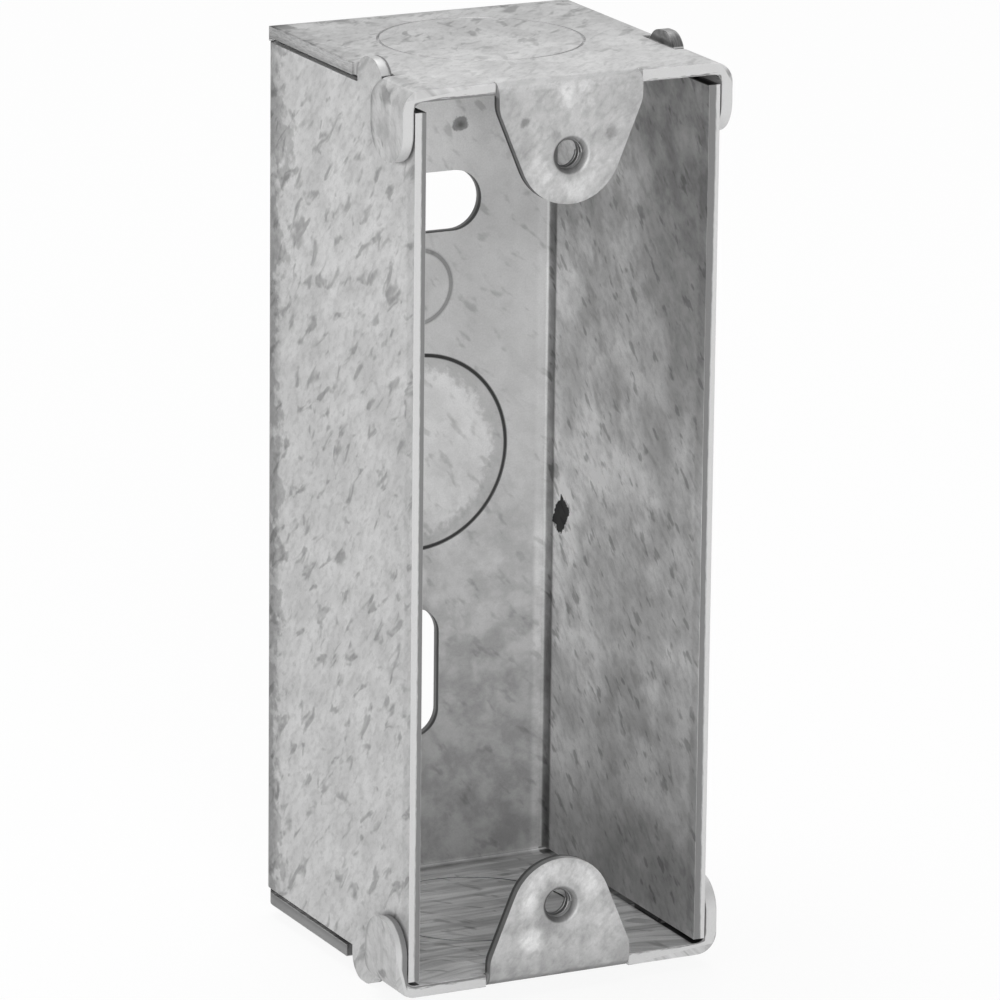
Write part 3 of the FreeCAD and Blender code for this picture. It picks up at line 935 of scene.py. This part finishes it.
def tab_shade(sheet, wall):
    """Factor along the outline of the tabs: a dark line on the wall and a shaded rim on the tab."""
    across = (abs(sheet.y - TAB_MIDDLE) - TAB_HALF_WIDTH + TAB_ROUND).at_least(0.0)
    before = (TAB_TIP_OFF_MIDDLE + TAB_ROUND - sheet.off_middle).at_least(0.0)
    from_tab = length(across, before) - TAB_ROUND
    line = from_tab.ramp(*TAB_LINE_REACH) * wall * sheet.outside
    rim = from_tab.ramp(*TAB_RIM_REACH) * sheet.on_tab * sheet.y.ramp(*TAB_RIM_REAR)
    return darker(line, TAB_LINE_SHARE) * darker(rim, TAB_RIM_SHARE)


def right_wall_light_and_shade(sheet):
    """Factor on the inside of the right wall: painted light at mid height and towards the rear, painted
    shade towards the front, the top and the foot, and a pale spot.
    """
    wall = sheet.on_right_wall
    # Painted light at mid height and at the rear; painted shade at the front, under the top plate and at
    # the foot
    lit = wall * abs(sheet.z - LIT_HEIGHT).ramp(*LIT_REACH)
    rear = wall * sheet.y.ramp(*RIGHT_REAR)
    front = wall * (sheet.y + sheet.ragged * RIGHT_FRONT_RAGGEDNESS).ramp(*RIGHT_FRONT)
    front = front * sheet.z.ramp(*RIGHT_FRONT_HEIGHTS)
    uneven_height = sheet.z + (sheet.cloud - NOISE_MIDDLE) * UNDER_TOP_CLOUD
    under_top_shade = wall * uneven_height.ramp(*UNDER_TOP_HEIGHTS)
    foot_shade = wall * sheet.z.ramp(*FOOT_HEIGHTS)
    pale = wall * sheet.near(*WALL_PALE_SPOT)
    factor = lighter(wall, mix(lit, *RIGHT_WALL_LIGHT_TONES)) * lighter(rear, RIGHT_REAR_LIGHT_TONE)
    factor = factor * darker(front, RIGHT_FRONT_SHADE_SHARE) * darker(under_top_shade, UNDER_TOP_SHADE_SHARE)
    return factor * darker(foot_shade, FOOT_SHADE_SHARE) * lighter(pale, WALL_PALE_SPOT_TONE)


def wall_light_and_shade(sheet):
    """Factor on the walls: painted shade along the mouth and round the tabs, paler at the top on the
    left, with the right wall's painted light and shade.
    """
    wall = sheet.off_middle.ramp(*WALL_OFF_MIDDLE)
    wall = wall * sheet.side.ramp(*WALL_SIDE_START) * sheet.side.ramp(*WALL_SIDE_END)
    # Painted shade along the front edges of the walls
    mouth_shade = wall * (sheet.y + sheet.ragged * MOUTH_RAGGEDNESS).ramp(*MOUTH_DEPTH)
    left_upper = sheet.x.ramp(*LEFT_WALL_SIDE) * sheet.outside * sheet.z.ramp(*LEFT_UPPER_HEIGHTS)
    factor = darker(mouth_shade, mix(sheet.inside, *MOUTH_SHADE_SHARES)) * tab_shade(sheet, wall)
    return factor * lighter(left_upper, LEFT_UPPER_TONE) * right_wall_light_and_shade(sheet)


def burnt_spot(sheet):
    """1 in the black mark on the inside of the right wall."""
    behind = sheet.y - BURN_DEPTH
    across = abs(behind) / BURN_HALF_DEPTH
    along = abs(sheet.z - BURN_HEIGHT + behind * BURN_SLANT) / BURN_HALF_HEIGHT
    return (across + along + sheet.ragged * BURN_RAGGEDNESS).ramp(*BURN_RIM) * sheet.on_right_wall


def seam_shade(sheet):
    """Painted shade in the narrow gaps where the wall ends meet the end plates."""
    front = sheet.y.ramp(*SEAM_FRONT)
    past_start = sheet.off_middle - mix(front * sheet.high, *SEAM_STARTS)
    past_end = sheet.off_middle - mix(front, *SEAM_ENDS)
    gap = past_start.ramp(*SEAM_START_RAMP) * past_end.ramp(*SEAM_END_RAMP)
    gap = gap * sheet.side.ramp(*SEAM_SIDE_START) * sheet.side.ramp(*SEAM_SIDE_END)
    rear_share = mix(sheet.high * sheet.left, SEAM_REAR_SHARE, SEAM_UPPER_LEFT_SHARE)
    share = mix(sheet.behind_tongues, SEAM_FRONT_SHARE, rear_share)
    share = share * mix(sheet.low * sheet.y.ramp(*SEAM_LOW_REAR), 1.0, SEAM_LOW_REAR_SHARE)
    return gap * sheet.y.ramp(*SEAM_MOUTH) * share


def tongue_shade(sheet, cut):
    """Factor on the two tongues on the right: dark from the press, with painted shade at the foot and on
    the front edge.
    """
    tongue = sheet.off_middle.ramp(*TONGUE_OFF_MIDDLE) * sheet.right
    tongue = tongue * band(sheet.side, TONGUE_SIDE, *TONGUE_WIDTH)
    foot_shade = (sheet.off_middle + sheet.ragged * TONGUE_FOOT_RAGGEDNESS).ramp(*TONGUE_FOOT)
    # Painted shade at the foot of the tongues and on their front edge
    tongue_foot_and_edge_shade = foot_shade.at_least(cut * sheet.y.ramp(*TONGUE_END))
    factor = darker(tongue, mix(sheet.ragged.ramp(*TONGUE_RAMP), *TONGUE_SHARES))
    return factor * darker(tongue * tongue_foot_and_edge_shade, TONGUE_FOOT_SHADE_SHARE)


def galvanised_steel():
    """Hot-dip zinc: pale and dull, with darker slanted flecks, and bare steel on the cut edges; its tone
    also carries painted light and shade.
    """
    zinc = Finish("galvanised_steel")
    sheet = Sheet(zinc)
    coat, fleck = zinc_coat(zinc, sheet)
    coat = coat * back_marks_light_and_shade(sheet) * corner_shading_and_patches(sheet) * plate_marks_light_and_shade(sheet) * wall_light_and_shade(sheet)
    coat = coat * lug_wear_and_shade(sheet) * lug_hole_shade(sheet)
    cut, torn, edge = cut_edges(sheet)
    # The black burnt spot, and painted shade in the seams between the wall ends and the end plates
    burn_and_seam_shade = burnt_spot(sheet).at_least(seam_shade(sheet))
    tone = mix(cut, coat, edge) * tongue_shade(sheet, cut) * left_plate_edges(sheet)
    tone = tone * darker(burn_and_seam_shade, BURN_AND_SEAM_SHADE_SHARE)
    coat_roughness = COAT_ROUGHNESS + fleck * FLECK_ROUGHNESS
    coat_roughness = coat_roughness + (sheet.grain - NOISE_MIDDLE) * GRAIN_ROUGHNESS
    return zinc.surface({
        "Base Color": zinc.grey(tone),
        "Metallic": mix(burn_and_seam_shade, *METALLIC),
        "Roughness": mix(cut, coat_roughness, mix(torn, *EDGE_ROUGHNESS)),
        "Normal": zinc.bump(sheet.grain, GRAIN_BUMP, GRAIN_HEIGHT * MM),
    })


def thread_steel():
    """Bare cut thread: bright crests with a fine turning grain."""
    steel = Finish("cut_thread")
    place = steel.node("ShaderNodeTexCoord", None, None, "Object")
    grain = steel.noise(place, *THREAD_NOISE)
    return steel.surface({
        "Base Color": steel.grey(mix(grain, *THREAD_TONES)),
        "Metallic": THREAD_METALLIC,
        "Roughness": mix(grain, *THREAD_ROUGHNESS),
    })


class ShapeTree:
    """A Geometry Nodes tree with named inputs, built node by node."""

    def __init__(self, name):
        self.tree = bpy.data.node_groups.new(name, "GeometryNodeTree")
        self.tree.interface.new_socket("Geometry", in_out="OUTPUT", socket_type="NodeSocketGeometry")
        self.entry = self.tree.nodes.new("NodeGroupInput")
        self.exit = self.tree.nodes.new("NodeGroupOutput")
        self.identifiers = {}

    def size(self, name, kind="NodeSocketFloat"):
        made = self.tree.interface.new_socket(name, in_out="INPUT", socket_type=kind)
        self.identifiers[name] = made.identifier
        return self.entry.outputs[name]

    def node(self, kind, settings=None, sockets=None):
        made = self.tree.nodes.new(kind)
        for name, value in (settings or {}).items():
            setattr(made, name, value)
        for name, value in (sockets or {}).items():
            if isinstance(value, bpy.types.NodeSocket):
                self.tree.links.new(value, made.inputs[name])
            else:
                made.inputs[name].default_value = value
        return made.outputs[0]

    def finish(self, geometry, material):
        real = self.node("GeometryNodeRealizeInstances", None, {"Geometry": geometry})
        done = self.node("GeometryNodeSetMaterial", None, {"Geometry": real, "Material": material})
        self.tree.links.new(done, self.exit.inputs[0])

    def piece(self, name, values):
        """A piece made by the tree with these sizes, as a plain mesh."""
        made = add_piece(name, bpy.data.meshes.new(name))
        modifier = made.modifiers.new(name, "NODES")
        modifier.node_group = self.tree
        for label, value in values.items():
            modifier[self.identifiers[label]] = value
        plain_mesh(made, name)
        return made


def thread_tree(material):
    """A helical ridge in each lug hole, wound along the screw's axis."""
    tree = ShapeTree("lug_thread")
    radius = tree.size("Bore radius")
    run = tree.size("Thread length")
    turns = tree.size("Turns")
    ridge = tree.size("Ridge height")
    apart = tree.size("Holes apart")
    low_hole = tree.size("Low hole", "NodeSocketVector")
    helix = tree.node("GeometryNodeCurveSpiral", None, {
        "Resolution": THREAD_STEPS, "Rotations": turns, "Start Radius": radius, "End Radius": radius,
        "Height": run})
    profile = tree.node("GeometryNodeCurvePrimitiveCircle", {"mode": "RADIUS"},
                        {"Resolution": THREAD_RIDGE_SIDES, "Radius": ridge})
    wound = tree.node("GeometryNodeCurveToMesh", None,
                      {"Curve": helix, "Profile Curve": profile, "Fill Caps": True})
    laid = tree.node("GeometryNodeTransform", None,
                     {"Geometry": wound, "Rotation": (math.radians(-90.0), 0.0, 0.0)})
    step = tree.node("ShaderNodeCombineXYZ", None, {"Z": apart})
    holes = tree.node("GeometryNodeMeshLine", {"mode": "OFFSET"},
                      {"Count": LUG_HOLES, "Start Location": low_hole, "Offset": step})
    placed = tree.node("GeometryNodeInstanceOnPoints", None, {"Points": holes, "Instance": laid})
    tree.finish(placed, material)
    return tree


def lug_threads():
    tree = thread_tree(thread_steel())
    low_hole = (0.0, LUG_BORE_START * MM, (MIDDLE_HEIGHT - LUG_HOLES_APART / 2.0) * MM)
    return tree.piece("lug_threads", {
        "Bore radius": LUG_BORE_RADIUS * MM,
        "Thread length": THREAD_TURNS * THREAD_PITCH * MM,
        "Turns": THREAD_TURNS,
        "Ridge height": THREAD_RIDGE * MM,
        "Holes apart": LUG_HOLES_APART * MM,
        "Low hole": low_hole,
    })


def studio_floor():
    """A wide pale floor that shows white round the part and keeps a trace of its shadow."""
    bpy.ops.mesh.primitive_plane_add(size=FLOOR_SIZE, location=(0.0, 0.0, 0.0))
    floor = bpy.context.object
    floor.name = "studio_floor"
    paper = Finish("floor_paper")
    seen = paper.node("ShaderNodeLightPath", None, None, "Is Camera Ray")
    mirrored = paper.node("ShaderNodeLightPath", None, None, "Is Glossy Ray")
    through = paper.node("ShaderNodeLightPath", None, None, "Is Transmission Ray")
    matt = paper.node("ShaderNodeBsdfDiffuse", None, {"Color": (FLOOR_TONE, FLOOR_TONE, FLOOR_TONE, 1.0)})
    white = paper.node("ShaderNodeEmission", None, {"Color": WHITE, "Strength": 1.0})
    whiteness = seen.at_least(mirrored).at_least(through) * FLOOR_WHITENESS
    shown = paper.node("ShaderNodeMixShader", None, {0: whiteness, 1: matt, 2: white})
    paper.node("ShaderNodeOutputMaterial", None, {"Surface": shown})
    floor.data.materials.append(paper.material)


def studio_light():
    """Soft light from above, from the left and from the front, in a pale room."""
    world = bpy.data.worlds.new("pale_room")
    bpy.context.scene.world = world
    world.use_nodes = True
    room = world.node_tree.nodes["Background"]
    room.inputs["Color"].default_value = WHITE
    room.inputs["Strength"].default_value = ROOM_STRENGTH
    for name, place, width, power in SOFT_BOXES:
        soft_box(name, place, width, power)


def soft_box(name, place, width, power):
    light = bpy.data.lights.new(name, "AREA")
    light.shape = "SQUARE"
    light.size = width
    light.energy = power
    lamp = bpy.data.objects.new(name, light)
    bpy.context.scene.collection.objects.link(lamp)
    lamp.location = place
    lamp.rotation_euler = (Vector(LIGHT_TARGET) - Vector(place)).to_track_quat("-Z", "Y").to_euler()


def photograph_camera():
    """The photograph's own viewpoint, from the fit of the box's corners."""
    forward = Vector((math.sin(CAMERA_YAW) * math.cos(CAMERA_PITCH),
                      math.cos(CAMERA_YAW) * math.cos(CAMERA_PITCH), -math.sin(CAMERA_PITCH)))
    level = Vector((math.cos(CAMERA_YAW), -math.sin(CAMERA_YAW), 0.0))
    upright = level.cross(forward)
    right = math.cos(CAMERA_ROLL) * level + math.sin(CAMERA_ROLL) * upright
    up = -math.sin(CAMERA_ROLL) * level + math.cos(CAMERA_ROLL) * upright
    data = bpy.data.cameras.new("photograph_camera")
    data.lens = CAMERA_LENS
    data.sensor_width = SENSOR
    camera = bpy.data.objects.new("photograph_camera", data)
    bpy.context.scene.collection.objects.link(camera)
    turn = Matrix((right, up, -forward)).transposed()
    camera.matrix_world = Matrix.Translation(CAMERA_PLACE) @ turn.to_4x4()
    bpy.context.scene.camera = camera


box_sheet = folded_box(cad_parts["back_box"])
box_sheet.data.materials.clear()
box_sheet.data.materials.append(galvanised_steel())
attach(box_sheet, "root")
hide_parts("back_box")

threads = lug_threads()
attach(threads, "root")

studio_floor()
studio_light()
photograph_camera()
bpy.context.scene.view_settings.view_transform = "Standard"
